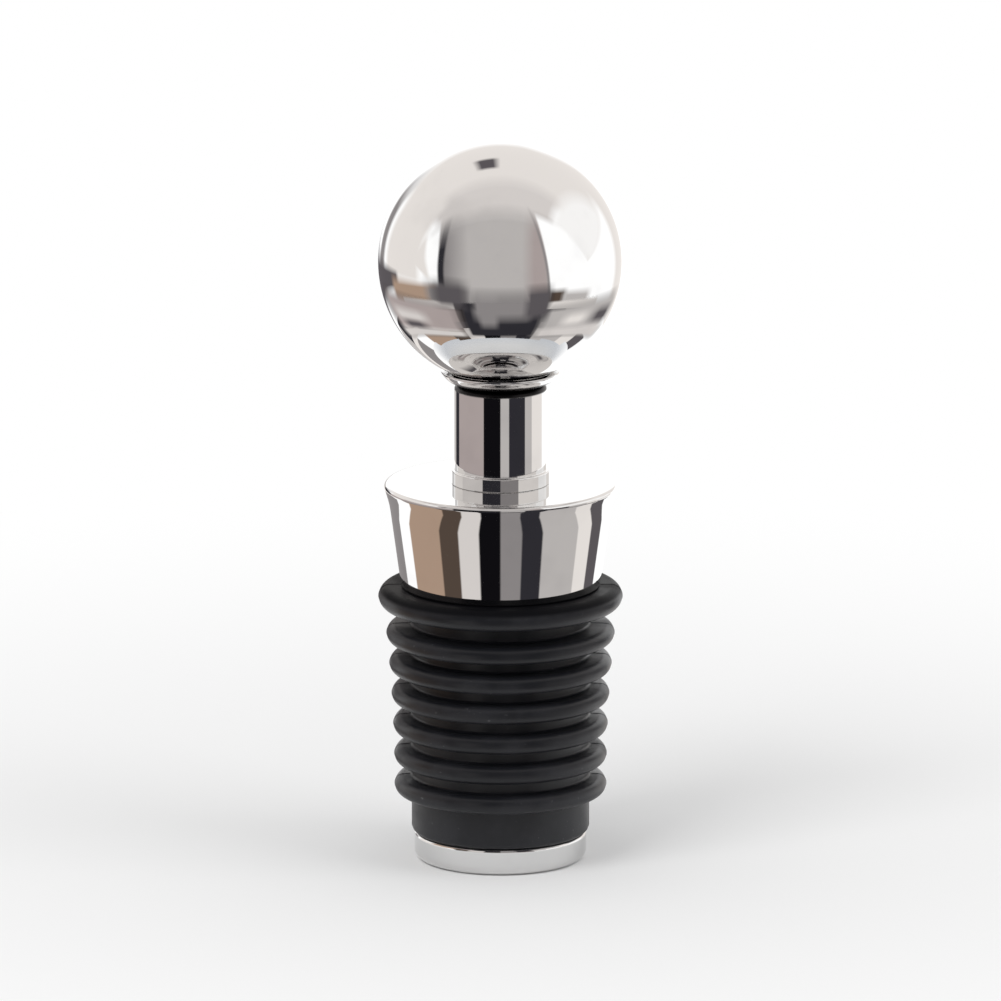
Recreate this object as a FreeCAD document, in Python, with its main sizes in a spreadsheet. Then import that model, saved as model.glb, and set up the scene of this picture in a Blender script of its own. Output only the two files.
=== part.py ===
# Bottle stopper with a ball knob.
#
# A chromed ball, a turned stem and a tapered flange stand on a black rubber plug. The plug has
# a round lip under the flange and ribs that shrink towards its nose, so it wedges into the
# mouth of a bottle. A threaded stud runs up the middle, from a cap under the plug into the
# ball, and clamps the whole stack. Lengths are in millimetres. The axis is +Z and the foot of
# the cap stands at Z = 0.

import FreeCAD, Part
import Sketcher
import os

# Every driving dimension: name, value and what it measures.
SIZES = [
    ("ball_diameter", 21.2, "outside of the ball"),
    ("ball_sink", 1.0, "how deep the ball sits into its foot"),
    ("ball_foot_diameter", 10.3, "thin rim of the cupped foot under the ball"),
    ("ball_foot_rim", 0.15, "height of that rim"),
    ("ball_foot_cup", 1.05, "height of the rounded underside, from the rim down to the stem"),
    ("ball_seat_step", 0.7, "how far the seat on the stem stands in from the stem, all round"),
    ("stem_diameter", 8.0, "turned stem"),
    ("stem_length", 8.8, "stem with its collar"),
    ("stem_top_round", 0.45, "rounded top edge of the stem"),
    ("collar_overhang", 0.25, "how far the collar stands out from the stem, all round"),
    ("collar_height", 1.2, "collar at the foot of the stem"),
    ("collar_round", 0.15, "upper edge of the collar"),
    ("flange_top_diameter", 20.5, "wide end of the tapered flange, before its edge is rounded"),
    ("flange_foot_diameter", 17.3, "narrow end of the tapered flange, on the rubber"),
    ("flange_height", 9.1, "height of the tapered flange"),
    ("flange_rim_height", 1.7, "upper part of the flange, which flares more than the taper"),
    ("flange_rim_flare", 0.35, "how far the top stands out from the straight taper, all round"),
    ("flange_rim_blend", 4.0, "hollow round where the taper turns into the flare"),
    ("flange_top_round", 0.35, "upper edge of the flange"),
    ("flange_foot_round", 0.25, "lower edge of the flange"),
    ("spigot_diameter", 9.6, "spigot under the flange, and the bore of the plug"),
    ("spigot_chamfer", 0.4, "lead-in at the end of the spigot"),
    ("sleeve_wall", 2.9, "wall of the plug between its ribs"),
    ("lip_reach", 2.9, "how far the round lip at the top stands out from the wall"),
    ("lip_thickness", 1.95, "height of that lip"),
    ("lip_gap", 1.55, "space between the lip and the rim of the first rib"),
    ("rib_count", 6, "ribs under the lip"),
    ("rib_thickness", 1.5, "height of a rib at its rim"),
    ("rib_gap", 1.2, "space between two rims"),
    ("rib_flare", 0.3, "how much thicker a rib is at its root"),
    ("first_rib_reach", 2.2, "how far the widest rib, under the lip, stands out from the wall"),
    ("last_rib_reach", 1.5, "the same for the narrowest rib, near the nose"),
    ("nose_length", 3.45, "plain wall below the last rib"),
    ("nose_round", 0.5, "lower edge of the plug"),
    ("cap_setback", 0.2, "how far the cap's rim stands in from the wall of the plug, all round"),
    ("cap_thickness", 2.4, "rim of the cap that holds the plug on its spigot"),
    ("cap_foot_round", 0.8, "lower edge of the cap"),
    ("cap_top_round", 0.3, "upper edge of the cap"),
    ("cap_boss_height", 4.6, "boss of the cap, inside the plug"),
    ("cap_floor", 1.2, "metal left under the tapped hole of the cap"),
    ("stud_diameter", 4.0, "threaded stud"),
    ("stud_chamfer", 0.5, "both ends of the stud"),
    ("stud_grip_in_ball", 8.0, "length of stud inside the ball"),
    ("tapped_hole_runout", 0.5, "thread below the end of the stud"),
    ("tapped_hole_clearance", 0.04, "stud to tapped wall, all round"),
    ("tapped_hole_countersink", 0.4, "mouth of a tapped hole"),
    ("drill_tip_height", 0.6, "conical bottom of a tapped hole, as a share of its radius"),
    ("through_hole_clearance", 0.2, "stud to plain bore, all round"),
]

# Formulas that several pieces share. They name cells of the sheet.
BALL_RADIUS = "(Sizes.ball_diameter / 2)"
BALL_FOOT_RADIUS = "(Sizes.ball_foot_diameter / 2)"
BALL_FOOT_TOP = "(Sizes.ball_foot_cup + Sizes.ball_foot_rim)"
BALL_MEETS_FOOT = f"sqrt({BALL_RADIUS} ^ 2 - ({BALL_RADIUS} - Sizes.ball_sink) ^ 2)"
STEM_RADIUS = "(Sizes.stem_diameter / 2)"
COLLAR_RADIUS = f"({STEM_RADIUS} + Sizes.collar_overhang)"
FLANGE_TOP_RADIUS = "(Sizes.flange_top_diameter / 2)"
FLANGE_FOOT_RADIUS = "(Sizes.flange_foot_diameter / 2)"
FLANGE_TAPER_WIDTH = f"({FLANGE_TOP_RADIUS} - Sizes.flange_rim_flare - {FLANGE_FOOT_RADIUS})"
FLANGE_PLAIN_HEIGHT = "(Sizes.flange_height - Sizes.flange_rim_height)"
FLANGE_PLAIN_WIDTH = f"({FLANGE_TAPER_WIDTH} * {FLANGE_PLAIN_HEIGHT} / Sizes.flange_height)"
FLANGE_RIM_RADIUS = f"({FLANGE_FOOT_RADIUS} + {FLANGE_PLAIN_WIDTH})"
SPIGOT_RADIUS = "(Sizes.spigot_diameter / 2)"
SLEEVE_RADIUS = f"({SPIGOT_RADIUS} + Sizes.sleeve_wall)"
LIP_RADIUS = f"({SLEEVE_RADIUS} + Sizes.lip_reach)"
CAP_RADIUS = f"({SLEEVE_RADIUS} - Sizes.cap_setback)"
STUD_RADIUS = "(Sizes.stud_diameter / 2)"
TAPPED_RADIUS = f"({STUD_RADIUS} + Sizes.tapped_hole_clearance)"
THROUGH_RADIUS = f"({STUD_RADIUS} + Sizes.through_hole_clearance)"
DRILL_TIP = f"({TAPPED_RADIUS} * Sizes.drill_tip_height)"

RIB_PITCH = "(Sizes.rib_thickness + Sizes.rib_gap)"
RIBS_LENGTH = f"(Sizes.rib_count * {RIB_PITCH} - Sizes.rib_gap)"
LIP_LENGTH = "(Sizes.lip_thickness + Sizes.lip_gap)"
PLUG_LENGTH = f"({LIP_LENGTH} + {RIBS_LENGTH} + Sizes.nose_length)"
SPIGOT_LENGTH = f"({PLUG_LENGTH} - Sizes.cap_boss_height)"

# Where each piece starts, above the foot of the stopper.
PLUG_BASE = "Sizes.cap_thickness"
SPIGOT_BASE = "(Sizes.cap_thickness + Sizes.cap_boss_height)"
FLANGE_BASE = f"({PLUG_BASE} + {PLUG_LENGTH})"
STEM_BASE = f"({FLANGE_BASE} + Sizes.flange_height)"
BALL_BASE = f"({STEM_BASE} + Sizes.stem_length)"
STUD_BASE = f"(Sizes.cap_floor + {DRILL_TIP} + Sizes.tapped_hole_runout)"
STUD_GRIP_IN_CAP = f"({SPIGOT_BASE} - {STUD_BASE})"

# A point on the axis, or on the piece's own base, takes this in place of a formula.
ZERO = "0"
# An edge within this distance of the wanted radius and height is the one looked for.
MATCH = 1e-4

doc = FreeCAD.newDocument("BottleStopper")
sheet = doc.addObject("Spreadsheet::Sheet", "Sizes")


def fill_sheet():
    """Writes each driving dimension to a cell that has its name as alias."""
    for row, (name, value, meaning) in enumerate(SIZES, start=1):
        sheet.set(f"A{row}", name)
        sheet.set(f"B{row}", str(value))
        sheet.set(f"C{row}", meaning)
        sheet.setAlias(f"B{row}", name)
    doc.recompute()


def number(formula):
    """The present value of a formula, in millimetres."""
    value = sheet.evalExpression(formula)
    return float(getattr(value, "Value", value))


def origin_plane(body, role):
    """One of the body's own origin planes."""
    return next(f for f in body.Origin.OriginFeatures if f.Role == role)


def new_body(label, base):
    """An empty body whose local Z = 0 stands at the height that the base formula gives."""
    body = doc.addObject("PartDesign::Body", label)
    body.Label = label
    body.setExpression("Placement.Base.z", base)
    return body


def bind(sketch, constraint, name, formula):
    """Adds a named constraint to the sketch and ties it to a formula."""
    index = sketch.addConstraint(constraint)
    sketch.renameConstraint(index, name)
    sketch.setExpression(f"Constraints.{name}", formula)


def arc_between(start, end, centre_r):
    """The arc from start to end, counter-clockwise, whose centre has that distance from the axis."""
    (r0, z0), (r1, z1) = start, end
    centre_z = ((r0 - centre_r) ** 2 - (r1 - centre_r) ** 2 + z0**2 - z1**2) / (2 * (z0 - z1))
    centre = FreeCAD.Vector(centre_r, centre_z, 0)
    spokes = [FreeCAD.Vector(r, z, 0) - centre for r, z in (start, end)]
    circle = Part.Circle(centre, FreeCAD.Vector(0, 0, 1), spokes[0].Length)
    x_axis = FreeCAD.Vector(1, 0, 0)
    angles = [s.getAngle(x_axis) * (1 if s.y >= 0 else -1) for s in spokes]
    return Part.ArcOfCircle(circle, angles[0], angles[1])


def half_section(body, name, corners, arcs=None):
    """A closed sketch in the XZ plane, counter-clockwise, with every corner tied to the sheet.

    corners: (corner name, radius formula, height formula) in order.
    arcs: the name of a corner where an arc starts, and the radius formula of the arc's centre.
    """
    arcs = arcs or {}
    sketch = body.newObject("Sketcher::SketchObject", name)
    sketch.AttachmentSupport = [(origin_plane(body, "XZ_Plane"), "")]
    sketch.MapMode = "FlatFace"
    places = [(number(r), number(z)) for _, r, z in corners]
    for i, (corner, _, _) in enumerate(corners):
        start, end = places[i], places[(i + 1) % len(places)]
        if corner in arcs:
            sketch.addGeometry(arc_between(start, end, number(arcs[corner])))
        else:
            sketch.addGeometry(Part.LineSegment(FreeCAD.Vector(*start, 0), FreeCAD.Vector(*end, 0)))
    for i in range(len(corners)):
        sketch.addConstraint(Sketcher.Constraint("Coincident", i, 2, (i + 1) % len(corners), 1))
    for i, (corner, r, z) in enumerate(corners):
        if r == ZERO and z == ZERO:
            sketch.addConstraint(Sketcher.Constraint("Coincident", i, 1, -1, 1))
            continue
        if r == ZERO:
            sketch.addConstraint(Sketcher.Constraint("PointOnObject", i, 1, -2))
        else:
            across = Sketcher.Constraint("DistanceX", -1, 1, i, 1, places[i][0])
            bind(sketch, across, f"{corner}_radius", r)
        if z == ZERO:
            sketch.addConstraint(Sketcher.Constraint("PointOnObject", i, 1, -1))
        else:
            up = Sketcher.Constraint("DistanceY", -1, 1, i, 1, places[i][1])
            bind(sketch, up, f"{corner}_height", z)
        if corner in arcs and arcs[corner] == ZERO:
            sketch.addConstraint(Sketcher.Constraint("PointOnObject", i, 3, -2))
        elif corner in arcs:
            centre = Sketcher.Constraint("DistanceX", -1, 1, i, 3, number(arcs[corner]))
            bind(sketch, centre, f"{corner}_arc_centre", arcs[corner])
    return sketch


def turn(body, sketch, name):
    """Adds the sketch's section to the body, turned about the axis."""
    feature = body.newObject("PartDesign::Revolution", name)
    feature.Profile = sketch
    feature.ReferenceAxis = (sketch, ["V_Axis"])
    feature.Angle = 360
    doc.recompute()


def bore(body, sketch, name):
    """Cuts the sketch's section out of the body, turned about the axis."""
    before = body.Shape.Volume
    feature = body.newObject("PartDesign::Groove", name)
    feature.Profile = sketch
    feature.ReferenceAxis = (sketch, ["V_Axis"])
    feature.Angle = 360
    doc.recompute()
    if body.Shape.Volume >= before:
        raise RuntimeError(f"{name} removed nothing from {body.Label}")


def circle_edges(body, radius, height):
    """Names of the body's circular edges of that radius at that local height."""
    found = []
    for i, edge in enumerate(body.Tip.Shape.Edges, start=1):
        if not isinstance(edge.Curve, Part.Circle):
            continue
        same_size = abs(edge.Curve.Radius - number(radius)) < MATCH
        if same_size and abs(edge.Curve.Center.z - number(height)) < MATCH:
            found.append(f"Edge{i}")
    if not found:
        raise RuntimeError(f"{body.Label} has no circular edge of radius {radius} at {height}")
    return found


def round_edges(body, name, edges, size):
    """Fillets those edges of the body."""
    base = body.Tip
    fillet = body.newObject("PartDesign::Fillet", name)
    fillet.Base = (base, edges)
    fillet.setExpression("Radius", size)
    doc.recompute()


def bevel_edges(body, name, edges, size):
    """Chamfers those edges of the body."""
    base = body.Tip
    chamfer = body.newObject("PartDesign::Chamfer", name)
    chamfer.Base = (base, edges)
    chamfer.setExpression("Size", size)
    doc.recompute()


def through_bore(body, top):
    """A plain clearance bore for the stud, from the body's base to the height given."""
    corners = [
        ("bore_foot", ZERO, ZERO),
        ("bore_foot_wall", THROUGH_RADIUS, ZERO),
        ("bore_top_wall", THROUGH_RADIUS, top),
        ("bore_top", ZERO, top),
    ]
    bore(body, half_section(body, "bore_section", corners), "stud_bore")


def tapped_hole(body, mouth, grip, upwards):
    """A blind tapped hole with a countersunk mouth and a drilled bottom.

    mouth: height formula of the mouth. grip: length formula of the stud inside the hole.
    upwards: True where the hole goes up from its mouth.
    """
    way = "+" if upwards else "-"
    wall_end = f"({mouth} {way} ({grip} + Sizes.tapped_hole_runout))"
    tip = f"({wall_end} {way} {DRILL_TIP})"
    corners = [
        ("mouth_centre", ZERO, mouth),
        ("mouth_rim", f"({TAPPED_RADIUS} + Sizes.tapped_hole_countersink)", mouth),
        ("wall_start", TAPPED_RADIUS, f"({mouth} {way} Sizes.tapped_hole_countersink)"),
        ("wall_end", TAPPED_RADIUS, wall_end),
        ("drill_tip", ZERO, tip),
    ]
    bore(body, half_section(body, "tapped_section", corners), "tapped_hole")


def make_ball_knob():
    """The ball on its thin-rimmed foot, and the tapped hole that takes the stud."""
    body = new_body("ball_knob", BALL_BASE)
    seat_radius = f"({STEM_RADIUS} - Sizes.ball_seat_step)"
    ball_top = f"({BALL_FOOT_TOP} - Sizes.ball_sink + Sizes.ball_diameter)"
    corners = [
        ("seat_centre", ZERO, ZERO),
        ("seat_rim", seat_radius, ZERO),
        ("foot_rim_low", BALL_FOOT_RADIUS, "Sizes.ball_foot_cup"),
        ("foot_rim_high", BALL_FOOT_RADIUS, BALL_FOOT_TOP),
        ("ball_start", BALL_MEETS_FOOT, BALL_FOOT_TOP),
        ("pole", ZERO, ball_top),
    ]
    arcs = {"seat_rim": seat_radius, "ball_start": ZERO}
    turn(body, half_section(body, "ball_section", corners, arcs), "ball")
    tapped_hole(body, ZERO, "Sizes.stud_grip_in_ball", upwards=True)
    return body


def make_neck_stem():
    """The turned stem between the flange and the ball, with the collar at its foot."""
    body = new_body("neck_stem", STEM_BASE)
    corners = [
        ("foot_centre", ZERO, ZERO),
        ("collar_foot", COLLAR_RADIUS, ZERO),
        ("collar_top", COLLAR_RADIUS, "Sizes.collar_height"),
        ("stem_foot", STEM_RADIUS, "Sizes.collar_height"),
        ("stem_top", STEM_RADIUS, "Sizes.stem_length"),
        ("top_centre", ZERO, "Sizes.stem_length"),
    ]
    turn(body, half_section(body, "stem_section", corners), "stem")
    stem_rim = circle_edges(body, STEM_RADIUS, "Sizes.stem_length")
    round_edges(body, "top_round", stem_rim, "Sizes.stem_top_round")
    collar_rim = circle_edges(body, COLLAR_RADIUS, "Sizes.collar_height")
    round_edges(body, "collar_round", collar_rim, "Sizes.collar_round")
    through_bore(body, "Sizes.stem_length")
    return body


def make_tapered_flange():
    """The tapered flange that stays above the bottle, with the spigot that carries the plug."""
    body = new_body("tapered_flange", SPIGOT_BASE)
    flange_top = f"({SPIGOT_LENGTH} + Sizes.flange_height)"
    rim_foot = f"({SPIGOT_LENGTH} + {FLANGE_PLAIN_HEIGHT})"
    corners = [
        ("spigot_centre", ZERO, ZERO),
        ("spigot_end", SPIGOT_RADIUS, ZERO),
        ("spigot_root", SPIGOT_RADIUS, SPIGOT_LENGTH),
        ("flange_foot", FLANGE_FOOT_RADIUS, SPIGOT_LENGTH),
        ("rim_foot", FLANGE_RIM_RADIUS, rim_foot),
        ("flange_top", FLANGE_TOP_RADIUS, flange_top),
        ("top_centre", ZERO, flange_top),
    ]
    turn(body, half_section(body, "flange_section", corners), "flange")
    top_rim = circle_edges(body, FLANGE_TOP_RADIUS, flange_top)
    round_edges(body, "top_round", top_rim, "Sizes.flange_top_round")
    flare_start = circle_edges(body, FLANGE_RIM_RADIUS, rim_foot)
    round_edges(body, "rim_blend", flare_start, "Sizes.flange_rim_blend")
    foot_rim = circle_edges(body, FLANGE_FOOT_RADIUS, SPIGOT_LENGTH)
    round_edges(body, "foot_round", foot_rim, "Sizes.flange_foot_round")
    bevel_edges(body, "lead_in", circle_edges(body, SPIGOT_RADIUS, ZERO), "Sizes.spigot_chamfer")
    through_bore(body, flange_top)
    return body


def add_rib(body, name, radius, low, thickness, flare):
    """A ring round the plug with a fully rounded rim, thicker by flare where it leaves the wall."""
    root_radius = f"({SPIGOT_RADIUS} + Sizes.sleeve_wall / 2)"
    rim_centre = f"({radius} - {thickness} / 2)"
    high = f"({low} + {thickness})"
    corners = [
        ("root_low", root_radius, f"({low} - {flare} / 2)"),
        ("rim_low", rim_centre, low),
        ("rim_high", rim_centre, high),
        ("root_high", root_radius, f"({high} + {flare} / 2)"),
    ]
    turn(body, half_section(body, f"{name}_section", corners, {"rim_low": rim_centre}), name)


def make_ribbed_plug():
    """The moulded rubber plug: a sleeve with a round lip on top and shrinking ribs below it."""
    body = new_body("ribbed_plug", PLUG_BASE)
    corners = [
        ("bore_foot", SPIGOT_RADIUS, ZERO),
        ("wall_foot", SLEEVE_RADIUS, ZERO),
        ("wall_top", SLEEVE_RADIUS, PLUG_LENGTH),
        ("bore_top", SPIGOT_RADIUS, PLUG_LENGTH),
    ]
    turn(body, half_section(body, "sleeve_section", corners), "sleeve")
    lip_low = f"({PLUG_LENGTH} - Sizes.lip_thickness)"
    add_rib(body, "lip", LIP_RADIUS, lip_low, "Sizes.lip_thickness", ZERO)
    rib_count = round(number("Sizes.rib_count"))
    for i in range(rib_count):
        # The reach falls from the first rib to the last along a parabola.
        share_left = (1 - i / max(rib_count - 1, 1)) ** 2
        fall = f"(Sizes.first_rib_reach - Sizes.last_rib_reach) * {share_left:.6f}"
        radius = f"({SLEEVE_RADIUS} + Sizes.last_rib_reach + {fall})"
        low = f"({lip_low} - Sizes.lip_gap - Sizes.rib_thickness - {i} * {RIB_PITCH})"
        add_rib(body, f"rib_{i + 1}", radius, low, "Sizes.rib_thickness", "Sizes.rib_flare")
    round_edges(body, "nose", circle_edges(body, SLEEVE_RADIUS, ZERO), "Sizes.nose_round")
    return body


def make_end_cap():
    """The cap under the plug, with a boss that meets the spigot and is tapped for the stud."""
    body = new_body("end_cap", ZERO)
    corners = [
        ("foot_centre", ZERO, ZERO),
        ("foot_rim", CAP_RADIUS, ZERO),
        ("shoulder_rim", CAP_RADIUS, "Sizes.cap_thickness"),
        ("boss_root", SPIGOT_RADIUS, "Sizes.cap_thickness"),
        ("boss_rim", SPIGOT_RADIUS, SPIGOT_BASE),
        ("boss_centre", ZERO, SPIGOT_BASE),
    ]
    turn(body, half_section(body, "cap_section", corners), "cap")
    round_edges(body, "foot_round", circle_edges(body, CAP_RADIUS, ZERO), "Sizes.cap_foot_round")
    shoulder = circle_edges(body, CAP_RADIUS, "Sizes.cap_thickness")
    round_edges(body, "shoulder_round", shoulder, "Sizes.cap_top_round")
    tapped_hole(body, SPIGOT_BASE, STUD_GRIP_IN_CAP, upwards=False)
    return body


def make_tie_stud():
    """The threaded stud that clamps the stack, drawn at the diameter over its thread."""
    body = new_body("tie_stud", STUD_BASE)
    length = f"({BALL_BASE} + Sizes.stud_grip_in_ball - {STUD_BASE})"
    corners = [
        ("foot_centre", ZERO, ZERO),
        ("foot_rim", STUD_RADIUS, ZERO),
        ("top_rim", STUD_RADIUS, length),
        ("top_centre", ZERO, length),
    ]
    turn(body, half_section(body, "stud_section", corners), "stud")
    ends = circle_edges(body, STUD_RADIUS, ZERO) + circle_edges(body, STUD_RADIUS, length)
    bevel_edges(body, "ends", ends, "Sizes.stud_chamfer")
    return body


def write_parts(bodies):
    """Checks every object and solid, then writes one STEP file for each body."""
    doc.recompute()
    for item in doc.Objects:
        if "Invalid" in item.State or "Error" in item.State:
            raise RuntimeError(f"{item.Label} failed: {item.State}")
    for body in bodies:
        if body.Shape.isNull() or not body.Shape.isValid() or len(body.Shape.Solids) != 1:
            raise RuntimeError(f"{body.Label} is not one valid solid")
    os.makedirs("parts", exist_ok=True)
    for body in bodies:
        body.Shape.exportStep(os.path.join("parts", f"{body.Label}.step"))
        print(f"{body.Label}: {body.Shape.Volume:.1f} mm3, Z {body.Shape.BoundBox.ZMin:.2f}"
              f" to {body.Shape.BoundBox.ZMax:.2f}")


fill_sheet()
write_parts([
    make_end_cap(),
    make_tie_stud(),
    make_ribbed_plug(),
    make_tapered_flange(),
    make_neck_stem(),
    make_ball_knob(),
])
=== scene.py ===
"""Dresses the wine stopper: a chromed ball, stem and flange over a ribbed rubber plug.

Every piece is turned: an outline in the half plane beside the axis is carried round the axis. An
outline keeps the exact direction of the surface at each of its points, because polished chrome
shows every flaw in its shading. Lengths are in metres, +Z is up along the axis, and the origin is
the centre of the foot.
"""

import logging
import math
from collections.abc import Callable, Sequence
from dataclasses import dataclass
from enum import Enum
from typing import ClassVar

import bpy
import numpy as np
from bpy.types import ID, Material, Mesh, Node, NodeSocket, NodeTree, Object
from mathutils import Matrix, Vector


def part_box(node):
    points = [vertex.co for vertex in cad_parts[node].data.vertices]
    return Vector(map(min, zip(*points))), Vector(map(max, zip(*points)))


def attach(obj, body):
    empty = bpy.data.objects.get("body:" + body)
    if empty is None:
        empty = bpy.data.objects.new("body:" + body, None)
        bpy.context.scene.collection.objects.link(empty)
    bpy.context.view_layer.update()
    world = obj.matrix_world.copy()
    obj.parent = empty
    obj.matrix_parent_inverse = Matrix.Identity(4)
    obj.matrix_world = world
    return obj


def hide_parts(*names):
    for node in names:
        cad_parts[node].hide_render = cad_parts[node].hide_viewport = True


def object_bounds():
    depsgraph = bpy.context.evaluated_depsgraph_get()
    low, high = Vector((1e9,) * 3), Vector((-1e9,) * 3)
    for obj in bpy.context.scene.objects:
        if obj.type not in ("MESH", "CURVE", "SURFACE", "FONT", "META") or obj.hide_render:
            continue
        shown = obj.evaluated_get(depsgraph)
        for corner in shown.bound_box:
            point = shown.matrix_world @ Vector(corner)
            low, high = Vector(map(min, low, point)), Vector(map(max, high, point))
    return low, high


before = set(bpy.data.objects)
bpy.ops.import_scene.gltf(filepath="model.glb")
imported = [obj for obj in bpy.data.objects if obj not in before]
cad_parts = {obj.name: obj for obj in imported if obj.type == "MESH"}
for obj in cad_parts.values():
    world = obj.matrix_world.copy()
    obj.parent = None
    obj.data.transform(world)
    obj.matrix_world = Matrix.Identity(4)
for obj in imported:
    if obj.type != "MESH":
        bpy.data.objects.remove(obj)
CAD_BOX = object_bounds()

LOG = logging.getLogger("wine_stopper")

MM = 0.001
BROKEN_EDGE = 0.08 * MM
ARC_STEP = math.radians(9)
BALL_STEP = math.radians(1.2)
FULL_TURN = 2 * math.pi

Colour = tuple[float, float, float]


class Slot(Enum):
    """The material slots of the record."""

    CHROME = "chrome"
    RUBBER = "rubber"
    STEEL = "steel"


def tone(red: float, green: float, blue: float) -> Colour:
    """Turns a colour as it looks on a screen, 0 to 255, into the linear colour of a socket."""
    shares = np.array([red, green, blue]) / 255
    linear = np.where(shares <= 0.04045, shares / 12.92, ((shares + 0.055) / 1.055) ** 2.4)
    return tuple(float(share) for share in linear)


# Outlines and turned meshes


@dataclass(frozen=True)
class Corner:
    """A corner of an outline: distance from the axis, height, and the radius that rounds it."""

    radius: float
    height: float
    rounding: float = BROKEN_EDGE


@dataclass(frozen=True)
class Outline:
    """The edge of a half section, counter-clockwise, so that the solid is on its left.

    points: a row (distance from the axis, height) for each point.
    normals: the outward direction of the surface at each point, in the same plane.
    closed: whether the last point joins the first. An open outline starts and ends on the axis.
    """

    points: np.ndarray
    normals: np.ndarray
    closed: bool = False


def arc(centre: Sequence[float], radius: float, start: float, end: float, step: float) -> Outline:
    """Points of an arc: centre + radius * (cos a, sin a), with the normal (cos a, sin a).

    Args:
        centre: distance from the axis and height of the arc's centre.
        radius: the arc's radius, negative where the arc is hollow.
        start: direction of the first normal, in radians.
        end: direction of the last normal, in radians.
        step: the most that the direction turns between two points.

    Returns:
        The arc as an open outline.
    """
    count = max(3, math.ceil(abs(end - start) / step)) + 1
    turns = np.linspace(start, end, count)
    normals = np.stack((np.cos(turns), np.sin(turns)), axis=1)
    return Outline(np.asarray(centre) + radius * normals, normals)


def join(parts: Sequence[Outline], closed: bool = False) -> Outline:
    """One outline from several that follow each other."""
    points = np.concatenate([part.points for part in parts])
    normals = np.concatenate([part.normals for part in parts])
    return Outline(points, normals, closed)


def rounded(corners: Sequence[Corner], closed: bool) -> Outline:
    """Rounds each corner of a polygon with an arc that touches both of its sides.

    The arc starts rounding * tan(turn / 2) before the corner, or half of the shorter side where
    that is less, so the two corners of a short side can make one full round.

    Args:
        corners: the polygon's corners, counter-clockwise.
        closed: whether the last corner joins the first. Otherwise both ends are on the axis, or
            carry on into another outline, and stay sharp.

    Returns:
        The outline.
    """
    places = np.array([(corner.radius, corner.height) for corner in corners])
    sides = np.roll(places, -1, axis=0) - places
    lengths = np.hypot(sides[:, 0], sides[:, 1])
    ways = sides / lengths[:, None]
    facing = np.stack((ways[:, 1], -ways[:, 0]), axis=1)
    parts = []
    for i, corner in enumerate(corners):
        if not closed and i in (0, len(corners) - 1):
            parts.append(Outline(places[i:i + 1], facing[:1] if i == 0 else facing[-2:-1]))
            continue
        before, after = ways[i - 1], ways[i]
        turn = math.atan2(before[0] * after[1] - before[1] * after[0], before @ after)
        reach = min(corner.rounding * math.tan(abs(turn) / 2), lengths[i - 1] / 2, lengths[i] / 2)
        radius = math.copysign(reach / math.tan(abs(turn) / 2), turn)
        centre = places[i] - reach * before - radius * facing[i - 1]
        start = math.atan2(facing[i - 1][1], facing[i - 1][0])
        parts.append(arc(centre, radius, start, start + turn, ARC_STEP))
    return join(parts, closed)


def even_angles(count: int) -> np.ndarray:
    """Angles that divide a full turn evenly."""
    return np.arange(count) * (FULL_TURN / count)


def quads(grid: np.ndarray) -> list:
    """The faces between the neighbours in a grid of vertex numbers."""
    corners = (grid[:-1, :-1], grid[:-1, 1:], grid[1:, 1:], grid[1:, :-1])
    return np.stack(corners, axis=-1).reshape(-1, 4).tolist()


def fans(grid: np.ndarray, foot: int, top: int) -> list:
    """The triangles from the first row of a grid to a foot, and from its last row to a top."""
    columns = grid.shape[1] - 1
    feet = np.stack((np.full(columns, foot), grid[0, 1:], grid[0, :-1]), axis=-1)
    tops = np.stack((np.full(columns, top), grid[-1, :-1], grid[-1, 1:]), axis=-1)
    return feet.tolist() + tops.tolist()


def new_mesh(name: str, vertices: np.ndarray, faces: list) -> Mesh:
    """A mesh in Blender's data."""
    mesh = bpy.data.meshes.new(name)
    mesh.from_pydata(vertices.tolist(), [], faces)
    return mesh


def new_object(name: str, data: ID) -> Object:
    """An object in the scene."""
    item = bpy.data.objects.new(name, data)
    bpy.context.scene.collection.objects.link(item)
    return item


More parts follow.
